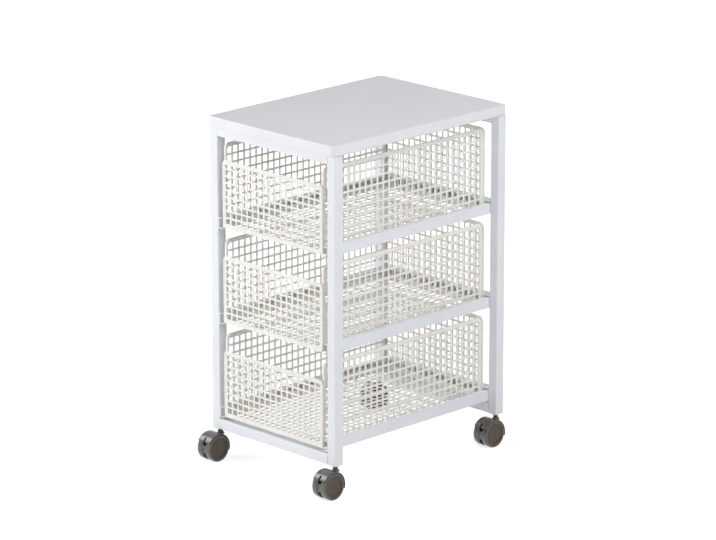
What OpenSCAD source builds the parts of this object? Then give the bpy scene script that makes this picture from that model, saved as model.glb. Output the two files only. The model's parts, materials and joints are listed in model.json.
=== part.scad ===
// Rolling kitchen cart: a square-tube frame with a flat top panel, three mesh baskets
// that slide out to the front, and four swivelling twin-wheel casters.
// The floor is z = 0, +X is the cart's right, and the baskets slide out towards -Y.

/* [Frame] */
// Width of the frame over the legs
frame_w = 320; // [280:1:420]
// Depth of the frame over the legs
frame_d = 436; // [360:1:520]
// Length of a leg, from its lower end to the top panel
leg_len = 568; // [560:1:700]
// Side of the square leg tube
tube = 20; // [18:0.5:26]
// Wall of the tubes
tube_wall = 1.2; // [0.8:0.1:2]
// Outer corner radius of the tubes
tube_r = 2; // [1.5:0.1:3]
// Height of the front and back rails under the top panel
top_rail_h = 16; // [12:0.5:24]
// Height of the front and back rails at the legs' lower ends
low_rail_h = 20; // [12:0.5:22]

/* [Top panel] */
// Thickness of the top panel
panel_t = 20; // [12:0.5:30]
// Overhang of the top panel at the front
panel_front = 5; // [1:0.5:30]
// Overhang of the top panel at the sides and the back
panel_side = 1; // [0:0.5:5]
// Radius of the top panel's edges
panel_r = 3; // [1:0.5:4]
// Radius of the top panel's corners, seen from above
panel_corner = 8; // [8:0.5:20]
// Diameter of the screws that hold the top panel
screw_d = 4; // [3:0.1:5]
// Depth of those screws in the top panel
screw_bite = 12; // [6:0.5:14]
// Diameter of the screw heads
screw_head_d = 8; // [7:0.5:10]
// Thickness of the screw heads
screw_head_h = 2.5; // [1.5:0.1:4]
// Distance of the screws from the legs
screw_inset = 45; // [20:1:90]

/* [Slide rails] */
// Height of the slide rails and stop rails
rail_h = 20; // [16:0.5:24]
// Sheet thickness of the slide rails and stop rails
rail_wall = 1.5; // [1:0.1:2]
// Depth of a slide rail's lower flange
rail_deep = 11; // [9:0.5:14]
// Depth of a slide rail's upper lip
rail_lip = 8; // [4:0.5:9]
// Height of a stop rail above the slide rails it joins
stop_up = 3; // [2:0.1:4]
// Height of a basket's underside above the slide rails' undersides
rail_drop = 3; // [2:0.1:5]
// Length of the nylon glide at the front of each slide rail
front_glide_len = 25; // [10:1:60]
// Distance of that glide from the front of the rail
front_glide_in = 12; // [2:1:40]

/* [Baskets] */
// Height of the lowest basket's underside above the low rails
first_level = 7; // [6:0.5:20]
// Clear height between a basket's top edge and the next basket's underside
head_room = 22; // [20:0.5:40]
// Extra clear height above the top basket
top_room = 4; // [0:0.5:40]
// How far a basket's front is lower than its sides
front_drop = 30.5; // [10:0.5:60]
// Gap between a basket's back and the stop rail
back_gap = 0.5; // [0.5:0.5:30]
// Thickness of the front panel's rim
front_t = 3; // [2.6:0.1:5]
// Thickness of the back panel's rim
back_t = 4; // [2.6:0.1:6]
// Thickness of the side panels' rims
side_t = 6; // [4.5:0.1:8]
// Thickness of the mesh
mesh_t = 1.6; // [1.2:0.1:2.6]
// Width of the raised rim around the panels
rim_w = 5; // [3:0.1:5.4]
// Height of that rim along the top edge
rim_top = 8.4; // [5.5:0.1:12]
// Groove beside the back panel, at the rear corners
groove = 3; // [2:0.1:6]
// Groove beside the front panel, at the front corners
front_groove = 1; // [0.4:0.1:3]
// Depth of those grooves
groove_deep = 2; // [1:0.1:2.4]
// Radius of the top corners
corner_r = 10; // [6:0.5:14]
// Radius of the front panel's top corners
front_r = 8; // [5.5:0.5:12]
// Radius of the lower corners
foot_r = 2.5; // [1:0.1:4]

/* [Mesh] */
// Columns of holes across a basket
cols_wide = 17; // [8:1:19]
// Columns of holes along a basket's sides
cols_deep = 27; // [12:1:30]
// Rows of holes from the front to the back of the floor
cols_floor = 14; // [6:1:18]
// Rows of holes
rows = 9; // [5:1:10]
// Width of the bars between two columns
bar = 3.7; // [3:0.1:5.5]
// Height of the bars between two rows
row_bar = 3.8; // [3:0.1:5.2]
// Plain border at the front and back panels' upright edges
border_side = 7.9; // [5.5:0.1:12]
// Plain border at the side panels' upright edges
border_end = 5.2; // [5:0.1:12]
// Plain border under the side and back panels' top edge
border_top = 8.5; // [5.5:0.1:12]
// Distance of the front panel's holes from its top edge, where the rim covers part of them
border_front_top = 5; // [4.5:0.1:12]
// Plain border along the side and back panels' lower edge
border_low = 10; // [9.5:0.1:20]
// Plain border along the front panel's lower edge
border_front_low = 8.8; // [5.5:0.1:14]

/* [Runners] */
// Thickness of a basket's runner
runner_t = 6; // [4:0.1:7]
// Height of the runner above the basket's underside
runner_up = 3; // [2:0.1:4]
// Distance of the runner's front end from the basket's front
runner_in = 10; // [5:1:40]
// Length of the nylon shoe at the runner's rear end
shoe_len = 40; // [20:1:80]

/* [Casters] */
// Diameter of a caster's wheels
wheel_d = 50; // [44:0.5:54]
// Width of one wheel
wheel_w = 12.8; // [11:0.1:16]
// Radius of the wheel's edges
wheel_r = 2; // [1:0.1:3]
// Thickness of the tread outside the wheel's disc
tread_t = 2.2; // [2:0.1:4]
// Width and depth of the groove between the tread and the disc
joint_w = 0.8; // [0.4:0.1:1.2]
// Thickness of the wheel's disc
disc_t = 3; // [2:0.1:5]
// Thickness of the caster body between its two wheels
web_t = 7; // [6.5:0.1:9]
// Distance from the wheel's tread in to the edge of that body
web_in = 1.5; // [1:0.1:4]
// Height of that body's upper front corner above the axle
web_top = 7.5; // [5:0.5:13]
// Depth of that body below the axle
web_low = 8; // [6.5:0.5:12]
// Distance of the wheels' axle behind the stem
trail = 18; // [16:0.5:20]
// Diameter of the axle
axle_d = 6; // [4:0.1:7]
// Wall around the axle
hub_wall = 3; // [2:0.1:4]
// Wall of the hood
hood_wall = 2; // [1.6:0.1:3]
// Radius of the hood's outer edges
hood_round = 3; // [1:0.1:4]
// Height of the hood's front edge above the axle
hood_front = 14.5; // [14:0.5:18]
// Depth of the hood's rear edge below the axle
hood_back = 7.5; // [0:0.5:8]
// Width of the slot in the hood's front edge
slot_w = 4; // [2:0.1:5]
// Height of the slot in the hood's front edge
slot_h = 7; // [4:0.5:8]
// Distance of the slot's back wall in front of the axle
slot_back = 12; // [9:0.5:13]
// Diameter of the caster's stem
stem_d = 6; // [5:0.1:7]
// Length of the stem in its socket
stem_len = 26; // [15:1:40]
// Length of the socket beyond the stem
socket_more = 4; // [1:0.5:10]
// Diameter of the neck below the leg
neck_d = 9; // [8.5:0.5:11]
// Diameter of the flange on which the leg stands, at the neck's top
flange_d = 12.5; // [11.5:0.5:14]
// Height over which the neck widens to that flange
flange_h = 4; // [2:0.5:5]
// Diameter of the cone that joins the neck to the hood
boss_d = 16; // [16:0.5:26]
// Height of that cone
boss_h = 5; // [4:0.5:9]
// Thickness of the hood under the stem
stem_floor = 1; // [0.8:0.1:2]
// Height of the legs' lower ends above the floor
ground = 59; // [58.5:0.5:75]

/* [Clearances] */
// Gap between pieces that move past each other
gap = 0.3; // [0.3:0.05:0.4]
// Radial clearance of the axles and stems
fit = 0.05; // [0.02:0.01:0.08]
// Gap between a slide rail's lower flange and the basket's side
rail_gap = 1; // [0.6:0.1:2]
// Gap between a wheel and the hood
wheel_gap = 0.8; // [0.6:0.1:1.5]

/* [Colours] */
// Colour of the frame
frame_color = "#e9ecf2"; // ["#e9ecf2", "#3c3d40"]
// Colour of the top panel
panel_color = "#eceef1"; // ["#eceef1", "#c9a377"]
// Colour of the baskets
basket_color = "#f6f0e4"; // ["#f6f0e4", "#b9bdc2"]
// Colour of the casters' bodies
hood_color = "#4b4845"; // ["#4b4845", "#202122"]
// Colour of the wheels
wheel_color = "#4a423b"; // ["#4a423b", "#2a2a2b"]

/* [Hidden] */
$fn = 48;
eps = 0.01;
rim_corner = 0.5;

// Heights of the baskets
level_pitch = (leg_len - low_rail_h - first_level - top_room) / 3;
basket_h = level_pitch - head_room;
front_h = basket_h - front_drop;

LEVELS = ["bottom", "middle", "top"];
CORNERS = ["front_left", "front_right", "back_left", "back_right"];
BASKET_PIECES = ["front", "left", "right", "back", "floor", "runners", "shoes"];
CASTER_PIECES = ["hood", "stem", "axle", "wheel_left", "wheel_right"];

// Heights
top_z = ground + leg_len;
function level_z(i) = ground + low_rail_h + first_level + i * level_pitch;
function rail_z(i) = level_z(i) - rail_drop;

// Plan of the frame: x is 0 on the cart's centre line and y is 0 at the legs' front
inner_x = frame_w / 2 - tube;
leg_x = frame_w / 2 - tube / 2;
leg_front_y = tube / 2;
leg_back_y = frame_d - tube / 2;
stop_y = frame_d - tube;
basket_d = stop_y - back_gap;
basket_x = inner_x - rail_deep - rail_gap;
basket_w = 2 * basket_x;

// Runner and shoe
runner_x = inner_x - rail_wall - rail_gap;
shoe_x = inner_x - rail_wall - gap;
shoe_end = stop_y - gap;
shoe_start = shoe_end - shoe_len;
rail_floor = rail_wall - rail_drop;
rail_roof = rail_h - rail_wall - rail_drop;

// Caster
axle_z = wheel_d / 2;
wheel_x = web_t / 2 + gap;
hood_in = wheel_d / 2 + wheel_gap;
hood_r = hood_in + hood_wall;
hood_x = wheel_x + wheel_w + gap;
hub_r = axle_d / 2 + hub_wall;
neck_top = ground - gap;
stem_low = axle_z + sqrt(hood_in * hood_in - pow(trail - neck_d / 2, 2)) + stem_floor;
boss_top = axle_z + hood_r - gap;

// The model's origin is on the floor in the middle of the whole cart, casters included
caster_reach = max(wheel_d / 2, sqrt(hood_r * hood_r - hood_front * hood_front));
front_end = min(leg_front_y - trail - caster_reach, -panel_front);
back_end = frame_d + panel_side;
shift_y = -(front_end + back_end) / 2;

// Rectangle from the origin, with rounded lower and upper corners
module rounded_plate(w, h, low, high) {
    translate([low, 0]) square([w - 2 * low, low]);
    translate([0, low]) square([w, h - low - high]);
    translate([high, h - high]) square([w - 2 * high, high]);
    for (x = [low, w - low]) translate([x, low]) circle(low);
    for (x = [high, w - high]) translate([x, h - high]) circle(high);
}

// Grid of rectangular holes that fills a box, with bars left between the holes
module holes(x0, y0, x1, y1, nx, ny, bx, by) {
    px = (x1 - x0 + bx) / nx;
    py = (y1 - y0 + by) / ny;
    for (i = [0:nx - 1], j = [0:ny - 1])
        translate([x0 + i * px, y0 + j * py]) square([px - bx, py - by]);
}

// Mesh panel lying on the XY plane, with a raised rim rim_t thick; the mesh starts at mesh_z
module mesh_panel(w, h, low, high, nx, side, top, bottom, rim_t, mesh_z) {
    translate([0, 0, mesh_z]) linear_extrude(mesh_t) difference() {
        rounded_plate(w, h, low, high);
        holes(side, bottom, w - side, h - top, nx, rows, bar, row_bar);
    }
    linear_extrude(rim_t) difference() {
        rounded_plate(w, h, low, high);
        translate([rim_w, rim_w])
            rounded_plate(w - 2 * rim_w, h - rim_w - rim_top, rim_corner, high - rim_w);
    }
}

// Square tube along Z, open at both ends
module tube_section(w, d) {
    difference() {
        rounded_square(w, d, tube_r);
        rounded_square(w - 2 * tube_wall, d - 2 * tube_wall, max(tube_r - tube_wall, 0.3));
    }
}

// Rectangle centred on the origin, with true round corners
module rounded_square(w, d, r) {
    square([w - 2 * r, d], center = true);
    square([w, d - 2 * r], center = true);
    for (x = [-1, 1], y = [-1, 1])
        translate([x * (w / 2 - r), y * (d / 2 - r)]) circle(r);
}

// Moves what is drawn in the frame's plan to the model's origin
module in_cart() {
    translate([0, shift_y, 0]) children();
}

// Place of one corner of the cart
module at_corner(corner) {
    x = (corner == "front_left" || corner == "back_left") ? -leg_x : leg_x;
    y = (corner == "front_left" || corner == "front_right") ? leg_front_y : leg_back_y;
    in_cart() translate([x, y, 0]) children();
}

module leg(corner) {
    color(frame_color) at_corner(corner) translate([0, 0, ground])
        linear_extrude(leg_len) tube_section(tube, tube);
}

// Tube between two legs, with its front face flush with the legs
module cross_rail(y, z, h) {
    translate([0, y, z + h / 2]) rotate([90, 0, 90])
        linear_extrude(2 * inner_x, center = true) tube_section(tube, h);
}

// Places of the screws that hold the top panel
module at_screws(y) {
    for (x = [-1, 1]) translate([x * (inner_x - screw_inset), y, 0]) children();
}

module top_rail(y) {
    color(frame_color) in_cart() difference() {
        cross_rail(y, top_z - top_rail_h, top_rail_h);
        at_screws(y) translate([0, 0, top_z - top_rail_h - 1])
            cylinder(h = top_rail_h + 2, d = screw_d + 2 * gap);
    }
}

module low_rail(y) {
    color(frame_color) in_cart() cross_rail(y, ground, low_rail_h);
}

module panel_screws() {
    color("silver") in_cart()
        for (y = [leg_front_y, leg_back_y]) at_screws(y) {
            translate([0, 0, top_z - top_rail_h - screw_head_h])
                cylinder(h = screw_head_h, d = screw_head_d);
            translate([0, 0, top_z - top_rail_h - eps])
                cylinder(h = top_rail_h + screw_bite, d = screw_d);
        }
}

// Section across the slab's edge, c wide, with its outer corners rounded
module edge_section(c, h, r) {
    square([c - r, h]);
    translate([0, r]) square([c, h - 2 * r]);
    for (z = [r, h - r]) translate([c - r, z]) circle(r);
}

// Edge of the slab from y = -half to y = half, growing from the given x towards +X
module slab_edge(x, half, c, h, r) {
    translate([x, half, 0]) rotate([90, 0, 0]) linear_extrude(2 * half) edge_section(c, h, r);
}

// Slab with corners of radius c and edges of radius r, centred on X and Y and standing on z = 0
module round_slab(w, d, h, c, r) {
    x = w / 2 - c;
    y = d / 2 - c;
    translate([-x, -y, 0]) cube([2 * x, 2 * y, h]);
    for (s = [-1, 1], t = [-1, 1]) translate([s * x, t * y, 0])
        rotate_extrude() edge_section(c, h, r);
    for (turn = [0, 180]) rotate([0, 0, turn]) slab_edge(x, y, c, h, r);
    for (turn = [90, 270]) rotate([0, 0, turn]) slab_edge(y, x, c, h, r);
}

module top_panel() {
    depth = frame_d + panel_front + panel_side;
    color(panel_color) in_cart() difference() {
        translate([0, depth / 2 - panel_front, top_z])
            round_slab(frame_w + 2 * panel_side, depth, panel_t, panel_corner, panel_r);
        for (y = [leg_front_y, leg_back_y]) at_screws(y) translate([0, 0, top_z - 1])
            cylinder(h = screw_bite + 2, d = screw_d + 2 * fit);
    }
}

// Channel profile, open towards -X, with its web's outer face on x = 0
module channel(h, lower, upper) {
    polygon([
        [0, 0], [0, h], [-upper, h], [-upper, h - rail_wall], [-rail_wall, h - rail_wall],
        [-rail_wall, rail_wall], [-lower, rail_wall], [-lower, 0]
    ]);
}

// Right-hand slide rail: a channel from the front leg to the stop rail, whose web goes on
// as a flat tab along the back leg
module slide_rail(i) {
    translate([inner_x, 0, rail_z(i)]) {
        translate([0, stop_y, 0]) rotate([90, 0, 0])
            linear_extrude(stop_y) channel(rail_h, rail_deep, rail_lip);
        translate([-rail_wall, stop_y, 0]) cube([rail_wall, tube, rail_h]);
    }
}

module slide_rails(i) {
    color(frame_color) in_cart() {
        slide_rail(i);
        mirror([1, 0, 0]) slide_rail(i);
    }
}

// Channel across the back, open towards the baskets, that their shoes stop against
module stop_rail(i) {
    color(frame_color) in_cart()
        translate([rail_wall - inner_x, stop_y + tube, rail_z(i) + stop_up])
            rotate([90, 0, 90]) linear_extrude(2 * (inner_x - rail_wall))
                channel(rail_h, tube, tube);
}

// Nylon pads near the slide rails' front ends, which carry the runners
module rail_glides() {
    color("white") in_cart()
        for (i = [0:2], side = [0, 1]) mirror([side, 0, 0])
            translate([inner_x - rail_deep, front_glide_in, level_z(i) + rail_floor])
                cube([rail_deep - rail_wall, front_glide_len, runner_up - gap - rail_floor]);
}

// Moves what is drawn in a basket's own frame to its level
module at_level(i) {
    color(basket_color) in_cart() translate([0, 0, level_z(i)]) children();
}

module basket_front() {
    translate([-basket_x, front_t, 0]) rotate([90, 0, 0])
        mesh_panel(basket_w, front_h, foot_r, front_r, cols_wide, border_side, border_front_top,
            border_front_low, front_t, (front_t - mesh_t) / 2);
}

module basket_back() {
    translate([-basket_x, basket_d, 0]) rotate([90, 0, 0])
        mesh_panel(basket_w, basket_h, foot_r, corner_r, cols_wide, border_side, border_top,
            border_low, back_t, (back_t - mesh_t) / 2);
}

// Right-hand side panel, with the thin tongues that reach to the back and front panels
module basket_side() {
    start = front_t + front_groove;
    length = basket_d - start - back_t - groove;
    translate([basket_x - side_t, start, 0]) rotate([90, 0, 90])
        mesh_panel(length, basket_h, foot_r, corner_r, cols_deep, border_end, border_top,
            border_low, side_t, (side_t - mesh_t) / 2);
    translate([basket_x - side_t, start + length - rim_w / 2, foot_r])
        cube([side_t - groove_deep, groove + rim_w / 2, basket_h - corner_r - foot_r]);
    translate([basket_x - side_t, front_t, foot_r])
        cube([side_t - groove_deep, front_groove + rim_w / 2, front_h - front_r - foot_r]);
}

module basket_floor() {
    w = basket_w - 2 * side_t;
    d = basket_d - front_t - back_t;
    translate([-w / 2, front_t, 0]) linear_extrude(mesh_t) difference() {
        square([w, d]);
        holes(rim_w, rim_w, w - rim_w, d - rim_w, cols_wide, cols_floor, bar, bar);
    }
}

module runner() {
    translate([basket_x, runner_in, runner_up])
        cube([runner_x - basket_x, shoe_end - rail_wall - runner_in, runner_t]);
}

// Nylon shoe that fits over the runner's rear end and fills the slide rail
module shoe() {
    difference() {
        translate([basket_x, shoe_start, rail_floor + gap])
            cube([shoe_x - basket_x, shoe_len, rail_roof - rail_floor - 2 * gap]);
        runner();
    }
}

// Draws its right-hand children on both sides of the cart
module both_sides() {
    children();
    mirror([1, 0, 0]) children();
}

module basket(i, piece) {
    if (piece == "front") at_level(i) basket_front();
    if (piece == "back") at_level(i) basket_back();
    if (piece == "right") at_level(i) basket_side();
    if (piece == "left") at_level(i) mirror([1, 0, 0]) basket_side();
    if (piece == "floor") at_level(i) basket_floor();
    if (piece == "runners") at_level(i) both_sides() runner();
    if (piece == "shoes") at_level(i) both_sides() shoe();
}

// Plastic block in each leg's lower end, with the bore for the caster's stem
module caster_sockets() {
    inner = tube - 2 * tube_wall;
    length = stem_len + socket_more;
    for (corner = CORNERS) color("dimgray") at_corner(corner) translate([0, 0, ground])
        difference() {
            linear_extrude(length) rounded_square(inner, inner, tube_r);
            translate([0, 0, -1]) cylinder(h = length + 2, d = stem_d + 2 * fit);
        }
}

// Turns what is drawn along Z to lie along the wheels' axle
module on_axle() {
    translate([0, -trail, axle_z]) rotate([0, 90, 0]) children();
}

// Full round form of the hood, with rounded shoulders
module hood_drum() {
    flat = hood_x - hood_round;
    on_axle() rotate_extrude() {
        translate([0, -flat]) square([hood_r, 2 * flat]);
        translate([0, -hood_x]) square([hood_r - hood_round, 2 * hood_x]);
        for (s = [-1, 1]) translate([hood_r - hood_round, s * flat]) circle(hood_round);
    }
}

// Keeps what lies above the hood's front and rear edges
module above_hood_edges() {
    big = 2 * hood_r;
    intersection() {
        children();
        union() {
            translate([-big, -trail - big, axle_z + hood_front]) cube([2 * big, 2 * big, big]);
            translate([-big, -trail, axle_z - hood_back]) cube([2 * big, big, 2 * big]);
        }
    }
}

// Flat body between the wheels, cut off above the floor and open below the hood's front edge
module web() {
    big = 2 * hood_r;
    intersection() {
        translate([-web_t / 2, 0, 0]) on_axle() cylinder(h = web_t, r = wheel_d / 2 - web_in);
        union() {
            translate([-big, -trail - big, axle_z - web_low]) cube([2 * big, 2 * big, web_low + web_top]);
            translate([-big, -trail - slot_back, axle_z]) cube([2 * big, big, big]);
        }
    }
}

// Hood over the tops of the wheels, with its neck and the body between the wheels
module hood() {
    difference() {
        union() {
            above_hood_edges() hood_drum();
            web();
            translate([0, 0, stem_low - boss_h]) cylinder(h = neck_top - stem_low + boss_h, d = neck_d);
            translate([0, 0, boss_top - boss_h]) cylinder(h = boss_h, d1 = boss_d, d2 = neck_d);
            translate([0, 0, neck_top - flange_h]) cylinder(h = flange_h, d1 = neck_d, d2 = flange_d);
        }
        for (s = [0, 1]) mirror([s, 0, 0]) translate([web_t / 2, 0, 0])
            on_axle() cylinder(h = hood_x, r = hood_in);
        translate([-web_t, 0, 0]) on_axle() cylinder(h = 2 * web_t, d = axle_d + 2 * fit);
        translate([0, 0, stem_low]) cylinder(h = ground, d = stem_d + 2 * fit);
        translate([-slot_w / 2, -trail - 2 * hood_r, axle_z + hood_front - 1])
            cube([slot_w, 2 * hood_r - slot_back, slot_h + 1]);
    }
}

module stem() {
    translate([0, 0, stem_low]) cylinder(h = ground + stem_len - stem_low, d = stem_d);
}

module axle() {
    half = wheel_x + wheel_w - disc_t - gap;
    translate([-half, 0, 0]) on_axle() cylinder(h = 2 * half, d = axle_d);
}

// Right-hand wheel: a tread with rounded edges round a disc that closes its outer face
module wheel() {
    r = wheel_d / 2;
    deep = wheel_w - disc_t;
    translate([wheel_x, 0, 0]) on_axle() difference() {
        rotate_extrude() difference() {
            union() {
                translate([0, wheel_r]) square([r, wheel_w - 2 * wheel_r]);
                square([r - wheel_r, wheel_w]);
                for (z = [wheel_r, wheel_w - wheel_r]) translate([r - wheel_r, z]) circle(wheel_r);
            }
            translate([r - tread_t - joint_w, wheel_w - joint_w]) square([joint_w, 2 * joint_w]);
            translate([hub_r, -deep]) square([r - 2 * tread_t - hub_r, 2 * deep]);
        }
        translate([0, 0, -deep]) cylinder(h = 2 * deep, d = axle_d + 2 * fit);
    }
}

module caster(corner, piece) {
    if (piece == "hood") color(hood_color) at_corner(corner) hood();
    if (piece == "stem") color("silver") at_corner(corner) stem();
    if (piece == "axle") color("silver") at_corner(corner) axle();
    if (piece == "wheel_right") color(wheel_color) at_corner(corner) wheel();
    if (piece == "wheel_left") color(wheel_color) at_corner(corner) mirror([1, 0, 0]) wheel();
}

top_panel();
panel_screws();
caster_sockets();
rail_glides();
top_rail(leg_front_y);  // top_rail_front
top_rail(leg_back_y);  // top_rail_back
low_rail(leg_front_y);  // low_rail_front
low_rail(leg_back_y);  // low_rail_back
for (c = CORNERS)
    leg(c);
for (i = [0:2])
    slide_rails(i);
for (i = [0:2])
    stop_rail(i);
for (i = [0:2], p = BASKET_PIECES)
    basket(i, p);
for (c = CORNERS, p = CASTER_PIECES)
    caster(c, p);
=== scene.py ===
# %% [markdown]
# # A rolling kitchen cart, dressed for its portrait
# The imported CAD model gives every piece its place. This script adds what CAD leaves plain:
# moulded baskets with rounded rims, wheels in two plastics, and a finish for each surface.
# The fixed model is loaded first, and its box is kept.

# %% Load the fixed frame
import json
import math
import bmesh
import bpy
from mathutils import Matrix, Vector


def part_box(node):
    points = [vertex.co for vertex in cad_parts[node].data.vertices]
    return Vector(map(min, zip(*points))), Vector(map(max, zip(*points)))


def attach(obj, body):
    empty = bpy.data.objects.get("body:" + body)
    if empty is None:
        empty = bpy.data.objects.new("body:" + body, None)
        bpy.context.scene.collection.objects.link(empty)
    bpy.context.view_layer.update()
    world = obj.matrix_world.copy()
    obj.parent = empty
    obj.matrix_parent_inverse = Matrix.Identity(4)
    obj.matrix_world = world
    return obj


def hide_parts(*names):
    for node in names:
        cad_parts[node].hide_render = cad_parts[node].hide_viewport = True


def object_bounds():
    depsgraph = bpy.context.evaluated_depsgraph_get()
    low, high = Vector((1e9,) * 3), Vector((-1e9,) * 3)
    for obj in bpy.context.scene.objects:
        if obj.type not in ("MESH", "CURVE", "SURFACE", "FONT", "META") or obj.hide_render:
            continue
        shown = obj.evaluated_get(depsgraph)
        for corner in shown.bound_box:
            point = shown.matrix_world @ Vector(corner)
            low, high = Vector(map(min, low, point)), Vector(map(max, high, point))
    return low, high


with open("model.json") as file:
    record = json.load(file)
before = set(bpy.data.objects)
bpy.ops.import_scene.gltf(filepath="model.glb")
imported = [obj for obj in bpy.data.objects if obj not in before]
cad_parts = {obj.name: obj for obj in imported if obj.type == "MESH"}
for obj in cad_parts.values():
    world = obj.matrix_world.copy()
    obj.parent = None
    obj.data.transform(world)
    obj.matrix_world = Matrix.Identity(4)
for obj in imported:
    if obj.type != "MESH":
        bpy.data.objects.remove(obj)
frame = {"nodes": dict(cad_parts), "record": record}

MM = 0.001
cad_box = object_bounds()
record = frame["record"]
nodes = frame["nodes"]
bpy.ops.object.select_all(action="DESELECT")
print("CAD box, mm:", [round(x / MM, 1) for corner in cad_box for x in corner])

# %% [markdown]
# ## The camera
# The photograph shows the cart over its front right corner, slightly from above, through
# a long lens. The leg at the left of the picture is the one that its lines were measured
# from, so the camera is placed by that leg's lowest corner and not by the floor.

# %% Camera
CAMERA_FROM_LEG = Vector((5.1866, -4.7896, 2.3539))
CAMERA_PITCH = 16.24
CAMERA_TURN = 45.12
LENS_MM = 204.18
SENSOR_MM = 36
SIGHT = 60

camera_data = bpy.data.cameras.new("camera")
camera_data.lens = LENS_MM
camera_data.sensor_width = SENSOR_MM
camera_data.clip_end = SIGHT
camera = bpy.data.objects.new("camera", camera_data)
camera.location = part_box("leg_front_left")[0] + CAMERA_FROM_LEG
camera.rotation_euler = (math.radians(90 - CAMERA_PITCH), 0, math.radians(CAMERA_TURN))
bpy.context.scene.collection.objects.link(camera)
bpy.context.scene.camera = camera
print("camera at, m:", [round(x, 3) for x in camera.location])

# %% [markdown]
# ## Helpers for modelling
# An edit-mode operator acts on whatever is selected. Two small helpers keep that under
# control: one selects a single object, the other the vertices or faces that pass a test
# on their place or direction. A third finds the sharp edges of a mesh and rounds them.

# %% Selecting and rounding
SHARP = math.radians(60)


def only(piece):
    """Selects this object alone and makes it the active one."""
    bpy.ops.object.select_all(action="DESELECT")
    piece.select_set(True)
    bpy.context.view_layer.objects.active = piece
    return piece


def pick(kind, test):
    """In edit mode, selects the active object's vertices or faces that pass the test."""
    bpy.ops.mesh.select_mode(type=kind)
    bpy.ops.mesh.select_all(action="DESELECT")
    mesh = bpy.context.active_object.data
    edited = bmesh.from_edit_mesh(mesh)
    for part in {"VERT": edited.verts, "FACE": edited.faces}[kind]:
        if test(part):
            part.select_set(True)
    bmesh.update_edit_mesh(mesh)


def round_edges(radius, steps):
    """In edit mode, bevels the sharp edges of the active object."""
    bpy.ops.mesh.select_all(action="DESELECT")
    bpy.ops.mesh.select_mode(type="EDGE")
    bpy.ops.mesh.edges_select_sharp(sharpness=SHARP)
    bpy.ops.mesh.bevel(offset=radius, segments=steps)


# %% [markdown]
# ## A basket's rim
# Each wall of a basket has a thick, rounded rim, like a rod bent round the mesh, which is
# taller along the top. It is drawn flat: a rectangle whose corners are rounded by a vertex
# bevel, an inset that leaves a ring, a move that makes its top band taller, and an
# extrusion to the rim's thickness. The last bevel rounds the ring's edges, which is what
# catches the light.

# %% Rim of one panel
TOP_STEPS = 7
FOOT_STEPS = 3
RIM_STEPS = 3


def add_rim(name, length, height, thick, top_r, foot_r, width, band, edge_r):
    """Closed ring lying on the XY plane, from the origin to (length, height, thick). It is
    width wide, and band along its top."""
    half, most = width / 2, 0.75 * width
    bpy.ops.mesh.primitive_plane_add(size=1, location=(0, 0, 0))
    piece = bpy.context.active_object
    piece.name = name
    bpy.ops.object.mode_set(mode="EDIT")
    bpy.ops.transform.translate(value=(0.5, 0.5, 0))
    bpy.ops.transform.resize(value=(length, height, 1), center_override=(0, 0, 0))
    pick("VERT", lambda v: v.co.y > height / 2)
    bpy.ops.mesh.bevel(
        offset=top_r, segments=TOP_STEPS, affect="VERTICES", clamp_overlap=False)
    pick("VERT", lambda v: v.co.y < foot_r / 2)
    bpy.ops.mesh.bevel(
        offset=foot_r, segments=FOOT_STEPS, affect="VERTICES", clamp_overlap=False)
    pick("FACE", lambda f: True)
    bpy.ops.mesh.inset(thickness=width, use_even_offset=True)
    # The inset leaves a cluster of vertices at each lower inner corner, merged into one.
    for corner_x in (width, length - width):
        pick("VERT", lambda v: (v.co - Vector((corner_x, width, 0))).length < most
             and half < v.co.y and half < v.co.x < length - half)
        bpy.ops.mesh.merge(type="CENTER")
    pick("FACE", lambda f: all(half < v.co.x < length - half for v in f.verts)
         and all(half < v.co.y < height - half for v in f.verts))
    bpy.ops.mesh.delete(type="FACE")
    pick("VERT", lambda v: height / 2 < v.co.y < height - most
         and most < v.co.x < length - most)
    bpy.ops.transform.translate(value=(0, width - band, 0))
    pick("FACE", lambda f: True)
    bpy.ops.mesh.extrude_region_move(TRANSFORM_OT_translate={"value": (0, 0, thick)})
    bpy.ops.mesh.select_all(action="SELECT")
    bpy.ops.mesh.normals_make_consistent(inside=False)
    round_edges(edge_r, RIM_STEPS)
    bpy.ops.object.mode_set(mode="OBJECT")
    return piece


# %% [markdown]
# ## A basket's mesh
# The mesh is a sheet with rows of nearly square holes. A grid gives one face for each
# hole, and a border all round: the outer lines of the grid are moved out to the panel's
# edge. Each inner face is then inset by half a bar and its middle deleted, which leaves
# the bars. Solidify gives the sheet its thickness, and a fine bevel softens the holes.

# %% Mesh of one panel
ON_LINE = 0.1 * MM


def move_line(axis, place, target):
    """Moves the grid's vertices on one line, at a place along x or y, to the target."""
    step = Vector((0, 0, 0))
    step[axis] = target - place
    pick("VERT", lambda v: abs(v.co[axis] - place) < ON_LINE)
    bpy.ops.transform.translate(value=step)


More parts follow.
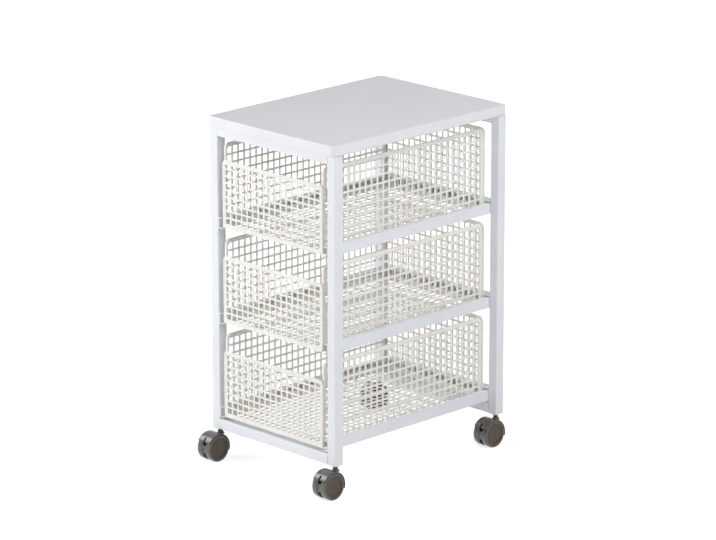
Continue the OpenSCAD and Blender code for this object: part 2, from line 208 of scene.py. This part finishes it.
def add_mesh(name, low, high, hole_low, hole_high, columns, rows, bar, thick):
    """Sheet with holes, centred on z = 0. The sheet goes from low to high, and its
    outermost holes from hole_low to hole_high, all given as (x, y)."""
    first = [hole_low[i] - bar / 2 for i in (0, 1)]
    last = [hole_high[i] + bar / 2 for i in (0, 1)]
    pitch = [(last[i] - first[i]) / (columns, rows)[i] for i in (0, 1)]
    bpy.ops.mesh.primitive_grid_add(
        x_subdivisions=columns + 2, y_subdivisions=rows + 2, size=1, location=(0, 0, 0))
    piece = bpy.context.active_object
    piece.name = name
    bpy.ops.object.mode_set(mode="EDIT")
    bpy.ops.transform.resize(value=(pitch[0] * (columns + 2), pitch[1] * (rows + 2), 1))
    centre = [(first[i] + last[i]) / 2 for i in (0, 1)]
    bpy.ops.transform.translate(value=(centre[0], centre[1], 0))
    for i in (0, 1):
        move_line(i, first[i] - pitch[i], low[i])
        move_line(i, last[i] + pitch[i], high[i])
    pick("FACE", lambda f: all(first[i] < f.calc_center_median()[i] < last[i] for i in (0, 1)))
    bpy.ops.mesh.inset(thickness=bar / 2, use_individual=True)
    bpy.ops.mesh.delete(type="FACE")
    bpy.ops.object.mode_set(mode="OBJECT")
    wall = piece.modifiers.new("wall", "SOLIDIFY")
    wall.thickness = thick
    wall.offset = 0
    bpy.ops.object.modifier_apply(modifier="wall")
    bpy.ops.object.mode_set(mode="EDIT")
    round_edges(MESH_EDGE, 1)
    bpy.ops.object.mode_set(mode="OBJECT")
    return piece


# %% [markdown]
# ## One basket, panel by panel
# The sizes below are those of the CAD panels, with the radii that only the dressed panels
# have. A border is the distance from a panel's edge to its nearest holes. Each panel is
# built lying flat, because that is how it is easiest to think about, and then turned up
# and moved to the place of the CAD panel that it stands for. Applying that move leaves the
# object at the origin, as a CAD node is.

# %% Sizes of a basket's panels
COLUMNS_WIDE = 17
COLUMNS_DEEP = 27
COLUMNS_FLOOR = 14
ROWS = 9
BAR = 3.75 * MM
MESH_T = 1.6 * MM
MESH_EDGE = 0.3 * MM
RIM_W = 5 * MM
RIM_TOP = 8.4 * MM
UNDER_RIM = 3.4 * MM
LEAST_MARGIN = 0.5 * MM
SIDE_BORDER = 7.9 * MM
END_BORDER = 5.2 * MM
TOP_BORDER = 8.5 * MM
FRONT_TOP_BORDER = 5 * MM
LOW_BORDER = 10 * MM
FRONT_LOW_BORDER = 8.8 * MM
TOP_R = 10 * MM
FRONT_R = 8 * MM
FOOT_R = 2.5 * MM
FRONT_EDGE_R = 1.3 * MM
BACK_EDGE_R = 1.6 * MM
SIDE_EDGE_R = 2 * MM
GROOVE = 3 * MM
FRONT_GROOVE = 1 * MM
GROOVE_DEEP = 2 * MM
TONGUE_EDGE = 0.4 * MM


# %% Joining and placing pieces
def join(first, *others):
    """Joins the other objects into the first one."""
    only(first)
    for other in others:
        other.select_set(True)
    bpy.ops.object.join()
    return first


def place(piece, location, turn):
    """Turns a piece, moves it, and puts both into its mesh."""
    only(piece)
    piece.rotation_euler = [math.radians(angle) for angle in turn]
    piece.location = location
    bpy.ops.object.transform_apply(location=True, rotation=True, scale=True)
    return piece


def smooth(piece, angle=40):
    """Smooth shading across edges flatter than the angle."""
    only(piece)
    bpy.ops.object.shade_smooth_by_angle(angle=math.radians(angle))
    return piece


def add_panel(name, length, height, thick, top_r, columns, side, top, low, edge_r):
    """Rim and mesh of one wall, lying flat from the origin. The mesh ends inside the rim,
    at least a margin short of the outermost line of its grid."""
    ring = add_rim(name, length, height, thick, top_r, FOOT_R, RIM_W, RIM_TOP, edge_r)
    hide_x, hide_y = [
        min(UNDER_RIM, border - BAR / 2 - LEAST_MARGIN) for border in (side, top)]
    sheet = add_mesh(
        name + "_mesh", (hide_x, UNDER_RIM), (length - hide_x, height - hide_y),
        (side, low), (length - side, height - top), columns, ROWS, BAR, MESH_T)
    place(sheet, (0, 0, thick / 2), (0, 0, 0))
    return join(ring, sheet)


# %% Front and back walls
low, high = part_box("bottom_basket_front")
front_height = high.z - low.z
front = add_panel("front_wall", high.x - low.x, front_height, high.y - low.y, FRONT_R,
                  COLUMNS_WIDE, SIDE_BORDER, FRONT_TOP_BORDER, FRONT_LOW_BORDER,
                  FRONT_EDGE_R)
smooth(place(front, (low.x, high.y, low.z), (90, 0, 0)))

low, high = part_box("bottom_basket_back")
back = add_panel("back_wall", high.x - low.x, high.z - low.z, high.y - low.y, TOP_R,
                 COLUMNS_WIDE, SIDE_BORDER, TOP_BORDER, LOW_BORDER, BACK_EDGE_R)
smooth(place(back, (low.x, high.y, low.z), (90, 0, 0)))
print("front and back walls:", len(front.data.polygons), len(back.data.polygons), "faces")

# %% [markdown]
# The side walls are thicker. At both ends a thin tongue reaches on to the next wall and
# leaves a groove beside it, which reads as a dark upright line. The left wall is the right
# one mirrored, and mirroring turns a mesh inside out, so its normals are recalculated.

# %% Side walls
def add_tongue(start, end, top, thick):
    """Thin strip lying on the XY plane, from x = start to end and up to y = top."""
    bpy.ops.mesh.primitive_plane_add(size=1, location=(0, 0, 0))
    piece = bpy.context.active_object
    bpy.ops.object.mode_set(mode="EDIT")
    bpy.ops.transform.translate(value=(0.5, 0.5, 0))
    bpy.ops.transform.resize(value=(end - start, top - FOOT_R, 1), center_override=(0, 0, 0))
    bpy.ops.transform.translate(value=(start, FOOT_R, 0))
    bpy.ops.mesh.extrude_region_move(TRANSFORM_OT_translate={"value": (0, 0, thick)})
    bpy.ops.mesh.select_all(action="SELECT")
    bpy.ops.mesh.normals_make_consistent(inside=False)
    bpy.ops.mesh.bevel(offset=TONGUE_EDGE, segments=1)
    bpy.ops.object.mode_set(mode="OBJECT")
    return piece


low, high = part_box("bottom_basket_right")
side_t = high.x - low.x
side_length = high.y - low.y - GROOVE - FRONT_GROOVE
side_height = high.z - low.z
right = add_panel("right_wall", side_length, side_height, side_t, TOP_R,
                  COLUMNS_DEEP, END_BORDER, TOP_BORDER, LOW_BORDER, SIDE_EDGE_R)
rear_tongue = add_tongue(
    side_length - RIM_W / 2, side_length + GROOVE, side_height - TOP_R, side_t - GROOVE_DEEP)
front_tongue = add_tongue(
    -FRONT_GROOVE, RIM_W / 2, front_height - FRONT_R, side_t - GROOVE_DEEP)
join(right, rear_tongue, front_tongue)
smooth(place(right, (low.x, low.y + FRONT_GROOVE, low.z), (90, 0, 90)))

only(right)
bpy.ops.object.duplicate()
left = bpy.context.active_object
left.name = "left_wall"
left.scale.x = -1
bpy.ops.object.transform_apply(location=True, rotation=True, scale=True)
bpy.ops.object.mode_set(mode="EDIT")
bpy.ops.mesh.select_all(action="SELECT")
bpy.ops.mesh.normals_make_consistent(inside=False)
bpy.ops.object.mode_set(mode="OBJECT")
print("side walls:", len(right.data.polygons), "faces each")

# %% Floor
low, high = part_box("bottom_basket_floor")
floor_size = high - low
floor = add_mesh("floor", (0, 0), (floor_size.x, floor_size.y), (RIM_W, RIM_W),
                 (floor_size.x - RIM_W, floor_size.y - RIM_W),
                 COLUMNS_WIDE, COLUMNS_FLOOR, BAR, MESH_T)
smooth(place(floor, (low.x, low.y, (low.z + high.z) / 2), (0, 0, 0)))
print("floor:", len(floor.data.polygons), "faces")

# %% [markdown]
# ## Three levels
# The three baskets are the same, so the panels of the lowest one are copied up. Each copy
# has its own mesh, is moved by the distance between the CAD panels, rides on its own
# sliding body, and stands for the CAD panel of its name.

# %% Copies for the middle and top basket
def copy_moved(piece, name, shift):
    """A copy with its own mesh, moved by a distance."""
    only(piece)
    bpy.ops.object.duplicate()
    copy = bpy.context.active_object
    copy.name = name
    copy.location = shift
    bpy.ops.object.transform_apply(location=True, rotation=False, scale=False)
    return copy


baskets = []
walls = {"front": front, "back": back, "right": right, "left": left, "floor": floor}
for level in ("top", "middle", "bottom"):
    for wall_name, wall in walls.items():
        node = f"{level}_basket_{wall_name}"
        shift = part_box(node)[0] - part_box(f"bottom_basket_{wall_name}")[0]
        piece = wall if level == "bottom" else copy_moved(wall, node, shift)
        piece.name = node + "_moulded"
        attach(piece, f"{level}_basket")
        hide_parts(node)
        baskets.append(piece)
print("basket panels:", len(baskets))

# %% [markdown]
# ## The casters' wheels
# Each wheel is a grey tread with rounded edges round a brownish disc, with a fine groove
# between them. It starts as a cylinder of the tread's size. The rims are bevelled, the
# outer cap is inset and pushed in to cut the groove, and the inner cap is hollowed round
# the hub, as a moulded wheel is to keep its walls even.

# %% One wheel
WHEEL_SIDES = 72
WHEEL_STEPS = 4
WHEEL_R = 2 * MM
TREAD_T = 3.8 * MM
WALL_T = 4.4 * MM
JOINT_W = 0.8 * MM
DISC_T = 3 * MM
HUB_R = 6 * MM
DISH_R = 17.5 * MM
DISH_DEEP = 0.8 * MM
WHEEL_SMOOTH = 35
ALONG_AXLE = 0.99


def step_in(inset, depth):
    """Insets the selected cap, then pushes it along the axle."""
    bpy.ops.mesh.inset(thickness=inset)
    if depth:
        bpy.ops.mesh.extrude_region_move(TRANSFORM_OT_translate={"value": (depth, 0, 0)})


def add_wheel(name, node, outward):
    """Wheel in the place of a CAD wheel; outward is 1 if its disc faces +X, or -1."""
    low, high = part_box(node)
    centre = (low + high) / 2
    radius = (high.z - low.z) / 2
    bpy.ops.mesh.primitive_cylinder_add(
        vertices=WHEEL_SIDES, radius=radius, depth=high.x - low.x, location=centre,
        rotation=(0, math.radians(90), 0))
    piece = bpy.context.active_object
    piece.name = name
    bpy.ops.object.transform_apply(location=True, rotation=True, scale=True)
    bpy.ops.object.mode_set(mode="EDIT")
    round_edges(WHEEL_R, WHEEL_STEPS)
    pick("FACE", lambda f: f.normal.x * outward > ALONG_AXLE)
    step_in(TREAD_T - WHEEL_R, -JOINT_W * outward)
    step_in(JOINT_W, JOINT_W * outward)
    step_in(radius - TREAD_T - JOINT_W - DISH_R, 0)
    step_in(DISH_DEEP, -DISH_DEEP * outward)
    deep = high.x - low.x - DISC_T
    pick("FACE", lambda f: f.normal.x * outward < -ALONG_AXLE)
    step_in(WALL_T - WHEEL_R, deep * outward)
    step_in(radius - WALL_T - HUB_R, -deep * outward)
    bpy.ops.object.mode_set(mode="OBJECT")
    return smooth(piece, WHEEL_SMOOTH)


wheels = []
for corner in ("front_left", "front_right", "back_left", "back_right"):
    for side, outward in (("left", -1), ("right", 1)):
        node = f"{corner}_caster_wheel_{side}"
        wheel = add_wheel(node + "_moulded", node, outward)
        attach(wheel, node)
        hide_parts(node)
        wheels.append((wheel, node, outward))
print("wheels:", len(wheels), "of", len(wheels[0][0].data.polygons), "faces")

# %% [markdown]
# ## Helpers for materials
# Colours are written as they look on a screen, and one function turns them to the linear
# values that the shader reckons in. One more function adds a node, sets its options, and
# fills or links its inputs.

# %% Colour and node helpers
def colour(code):
    """Linear RGBA of an sRGB colour such as #f0f0f0."""
    shares = [int(code[i:i + 2], 16) / 255 for i in (1, 3, 5)]
    return [s / 12.92 if s <= 0.04045 else ((s + 0.055) / 1.055) ** 2.4 for s in shares] + [1]


def add(tree, kind, options=None, inputs=None):
    """Adds a node. An input's value is a number, a colour, or the socket it is linked to."""
    node = tree.nodes.new(kind)
    for option, value in (options or {}).items():
        setattr(node, option, value)
    for socket, value in (inputs or {}).items():
        if isinstance(value, bpy.types.NodeSocket):
            tree.links.new(value, node.inputs[socket])
        else:
            node.inputs[socket].default_value = value
    return node


def new_material(name):
    """Empty material, with its tree, its shader and the place in the object's own metres."""
    material = bpy.data.materials.new(name)
    material.use_nodes = True
    tree = material.node_tree
    tree.nodes.clear()
    shader = add(tree, "ShaderNodeBsdfPrincipled")
    add(tree, "ShaderNodeOutputMaterial", inputs={"Surface": shader.outputs[0]})
    spot = add(tree, "ShaderNodeTexCoord").outputs["Object"]
    return material, tree, shader, spot


# %% [markdown]
# ## A coating or a moulded plastic, in general
# Every surface here is either coated or moulded. Both have a colour that drifts a little
# over some centimetres, a grain that the eye reads as texture, and a gloss that changes
# with the grain. One function builds that from three real sizes in millimetres, and the
# finishes below give it their own. Noise seldom leaves the middle of its range, so that
# middle is spread over the whole change of colour and gloss.

# %% Shared build-up of a surface
NOISE_LOW, NOISE_HIGH = 0.3, 0.7


def surface(name, light, dark, rough, drift_mm, grain_mm, grain_height_mm,
            stretch=(1, 1, 1), more=None):
    """Material whose colour drifts from light to dark and whose grain bumps the surface.
    rough is (smoothest, roughest), and more has further inputs of the shader."""
    material, tree, shader, spot = new_material(name)
    placed = add(tree, "ShaderNodeMapping", inputs={"Vector": spot, "Scale": stretch})
    drift = add(tree, "ShaderNodeTexNoise", inputs={
        "Vector": placed.outputs[0], "Scale": 1 / (drift_mm * MM), "Detail": 3})
    grain = add(tree, "ShaderNodeTexNoise", inputs={
        "Vector": placed.outputs[0], "Scale": 1 / (grain_mm * MM), "Detail": 2,
        "Roughness": 0.6})
    tint = add(tree, "ShaderNodeMapRange", inputs={
        "Value": drift.outputs[0], "From Min": NOISE_LOW, "From Max": NOISE_HIGH})
    base = add(tree, "ShaderNodeMix", {"data_type": "RGBA"}, {
        0: tint.outputs[0], 6: colour(dark), 7: colour(light)})
    gloss = add(tree, "ShaderNodeMapRange", inputs={
        "Value": grain.outputs[0], "From Min": NOISE_LOW, "From Max": NOISE_HIGH,
        "To Min": rough[0], "To Max": rough[1]})
    bump = add(tree, "ShaderNodeBump", inputs={
        "Height": grain.outputs[0], "Strength": 1, "Distance": grain_height_mm * MM})
    tree.links.new(base.outputs[2], shader.inputs["Base Color"])
    tree.links.new(gloss.outputs[0], shader.inputs["Roughness"])
    tree.links.new(bump.outputs[0], shader.inputs["Normal"])
    for socket, value in (more or {}).items():
        shader.inputs[socket].default_value = value
    return material


# %% [markdown]
# ## Finishes
# The frame is powder-coated steel. The powder melts into a skin with a fine orange peel
# of 1 to 2 mm, which breaks up reflections. At this distance that is too fine to show, so
# it is drawn at 3 mm. The white leans to blue.

# %% Powder coat of the frame
powder_coat = surface(
    "powder_coat", "#eef1f5", "#e7eaf0", (0.30, 0.44), 90, 3, 0.10,
    more={"Coat Weight": 0.15, "Coat Roughness": 0.25})

# %% [markdown]
# The top is a board with a sprayed satin lacquer. It is smoother than the powder coat,
# with the long, low waves that a spray gun leaves, and a faint grain.

# %% Lacquer of the top
lacquer = surface(
    "satin_lacquer", "#eff1f4", "#e9ecf0", (0.36, 0.48), 120, 5, 0.05, (1, 0.6, 1))

# %% [markdown]
# The baskets and their runners are injection-moulded polypropylene, ivory, with a satin
# skin. Polypropylene lets light in a little, so its shadows are warm and soft, and the
# melt leaves faint streaks where it flowed.

# %% Moulded polypropylene
polypropylene = surface(
    "moulded_polypropylene", "#f5f4f0", "#efede6", (0.34, 0.50), 60, 2.5, 0.08, (1, 1, 0.5),
    {"Subsurface Weight": 0.08, "Subsurface Radius": (4 * MM, 3 * MM, 2 * MM),
     "Subsurface Scale": 0.5})

# %% [markdown]
# Glides and shoes are natural nylon: greyer, waxy and slightly glossier than the baskets.

# %% Natural nylon
nylon = surface(
    "natural_nylon", "#e6e4dd", "#dad7ce", (0.30, 0.42), 25, 1.5, 0.05)

# %% [markdown]
# The casters' hoods are dark grey glass-filled nylon. A fine spark-eroded texture spreads
# the highlight on their front, and the resin's skin keeps a sharper one on top of it. The
# sockets in the legs are plain black and dull.

# %% Hoods and sockets
hood_plastic = surface(
    "textured_grey_nylon", "#585552", "#4b4845", (0.20, 0.32), 30, 1.2, 0.05,
    more={"Coat Weight": 0.3, "Coat Roughness": 0.15})
socket_plastic = surface(
    "black_socket_plastic", "#3a3836", "#2e2c2b", (0.45, 0.60), 20, 1.2, 0.08)

# %% [markdown]
# A wheel has two plastics: a grey tread, which the floor has rubbed shiny, and a browner
# and duller disc.

# %% Wheels
tread_plastic = surface(
    "grey_tread", "#5a544f", "#4d4843", (0.18, 0.30), 12, 1.0, 0.04,
    more={"Coat Weight": 0.5, "Coat Roughness": 0.12})
disc_plastic = surface(
    "brown_grey_disc", "#4a3b2d", "#3e3226", (0.40, 0.54), 20, 1.5, 0.06)

# %% [markdown]
# Screws, stems and axles are zinc-plated steel: a metal whose grey comes from its base
# colour, with fine drawn lines along its length.

# %% Zinc plate
zinc = surface(
    "zinc_plate", "#c3c5c7", "#adb0b2", (0.26, 0.40), 8, 0.8, 0.04, (1, 1, 0.2),
    {"Metallic": 1})

# %% Assign the finishes
finish_of_slot = {
    "frame_white": powder_coat, "top_white": lacquer, "basket_cream": polypropylene,
    "runner_cream": polypropylene, "nylon": nylon, "hood_grey": hood_plastic,
    "wheel_grey": tread_plastic, "socket_black": socket_plastic, "steel": zinc}


def dress(piece, *finishes):
    """Replaces a piece's materials."""
    while len(piece.data.materials) > len(finishes):
        piece.data.materials.pop()
    for i, finish in enumerate(finishes):
        if i < len(piece.data.materials):
            piece.data.materials[i] = finish
        else:
            piece.data.materials.append(finish)


for row in record["subparts"]:
    dress(nodes[row["node"]], finish_of_slot[row["material_slot"]])
for panel in baskets:
    dress(panel, polypropylene)
for wheel, node, outward in wheels:
    low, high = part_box(node)
    axle = (low + high) / 2
    joint_r = (high.z - low.z) / 2 - TREAD_T - JOINT_W / 2
    dress(wheel, tread_plastic, disc_plastic)
    for face in wheel.data.polygons:
        across = face.center - axle
        if across.x * outward > 0 and math.hypot(across.y, across.z) < joint_r:
            face.material_index = 1
print("finishes:", len(bpy.data.materials))

# %% [markdown]
# ## Floor and light
# The photograph has a plain white ground. The floor takes the light and the shadow as a
# matt surface does, and its own white is added only for the camera and for mirror-like
# surfaces, so that the object itself gets no more light than a plain studio gives. Far from
# the cart, where the lamps are weak, that white is stronger. The world does the same behind.

# %% White ground
GROUND_SIZE = 40
NEAR, FAR = 0.6, 1.8
NEAR_WHITE = 0.68


def seen_rays(tree):
    """1 for what the camera sees straight, in a mirror or through glass, and 0 for light."""
    rays = add(tree, "ShaderNodeLightPath")
    mirrored = add(tree, "ShaderNodeMath", {"operation": "MAXIMUM"}, {
        0: rays.outputs["Is Camera Ray"], 1: rays.outputs["Is Glossy Ray"]})
    return add(tree, "ShaderNodeMath", {"operation": "MAXIMUM"}, {
        0: mirrored.outputs[0], 1: rays.outputs["Is Transmission Ray"]}).outputs[0]


bpy.ops.mesh.primitive_plane_add(size=GROUND_SIZE, location=(0, 0, cad_box[0].z))
ground = bpy.context.active_object
ground.name = "ground"

ground_paint = bpy.data.materials.new("white_floor")
ground_paint.use_nodes = True
tree = ground_paint.node_tree
tree.nodes.clear()
distance = add(tree, "ShaderNodeVectorMath", {"operation": "LENGTH"}, {
    0: add(tree, "ShaderNodeTexCoord").outputs["Object"]})
white = add(tree, "ShaderNodeMapRange", inputs={
    "Value": distance.outputs["Value"], "From Min": NEAR, "From Max": FAR,
    "To Min": NEAR_WHITE, "To Max": 1})
own_white = add(tree, "ShaderNodeMath", {"operation": "MULTIPLY"}, {
    0: seen_rays(tree), 1: white.outputs[0]})
matt = add(tree, "ShaderNodeBsdfDiffuse", inputs={"Color": colour("#e4e4e4")})
glow = add(tree, "ShaderNodeEmission", inputs={"Strength": own_white.outputs[0]})
both = add(tree, "ShaderNodeAddShader", inputs={0: matt.outputs[0], 1: glow.outputs[0]})
add(tree, "ShaderNodeOutputMaterial", inputs={"Surface": both.outputs[0]})
ground.data.materials.append(ground_paint)

# %% World
AMBIENT = 0.17

world = bpy.data.worlds.new("white_world")
bpy.context.scene.world = world
world.use_nodes = True
tree = world.node_tree
tree.nodes.clear()
level = add(tree, "ShaderNodeMapRange", inputs={
    "Value": seen_rays(tree), "To Min": AMBIENT, "To Max": 1})
sky = add(tree, "ShaderNodeBackground", inputs={
    "Color": (1, 1, 1, 1), "Strength": level.outputs[0]})
add(tree, "ShaderNodeOutputWorld", inputs={"Surface": sky.outputs[0]})

# %% [markdown]
# Large soft lamps light the cart. The key stands low at the front left, because the front
# of the legs is the brightest side in the photograph. The fill stands higher at the right,
# where the top panel keeps it out of the baskets, and a weaker lamp behind keeps the back
# from going dull. Seen from the other side, the top would mirror such lamps as plain white,
# so they are kept out of reflections. A small lamp that shows only in reflections puts the
# highlights on the hoods and treads instead.

# %% Lamps
LAMP_DISTANCE = 3


def add_lamp(name, turn, height, power, size, mirrored=False):
    """Square lamp aimed at the cart's middle; turn is its bearing from the front, to the
    cart's right, and height its angle above the horizon, both in degrees. It lights the
    surfaces, or is only mirrored in them."""
    centre = (cad_box[0] + cad_box[1]) / 2
    turn, height = math.radians(turn), math.radians(height)
    away = Vector((math.sin(turn) * math.cos(height), -math.cos(turn) * math.cos(height),
                   math.sin(height)))
    lamp = bpy.data.lights.new(name, "AREA")
    lamp.energy = power
    lamp.size = size
    stand = bpy.data.objects.new(name, lamp)
    stand.location = centre + LAMP_DISTANCE * away
    stand.rotation_euler = away.to_track_quat("Z", "Y").to_euler()
    stand.visible_diffuse = not mirrored
    stand.visible_glossy = mirrored
    bpy.context.scene.collection.objects.link(stand)


add_lamp("key", -37, 11, 66, 2.0)
add_lamp("fill", 80, 40, 54, 2.0)
add_lamp("back", 180, 12, 24, 1.6)
add_lamp("glint", -62, 38, 28, 1.2, mirrored=True)

# %% Final settings
bpy.context.scene.view_settings.view_transform = "Standard"
bpy.ops.object.select_all(action="DESELECT")
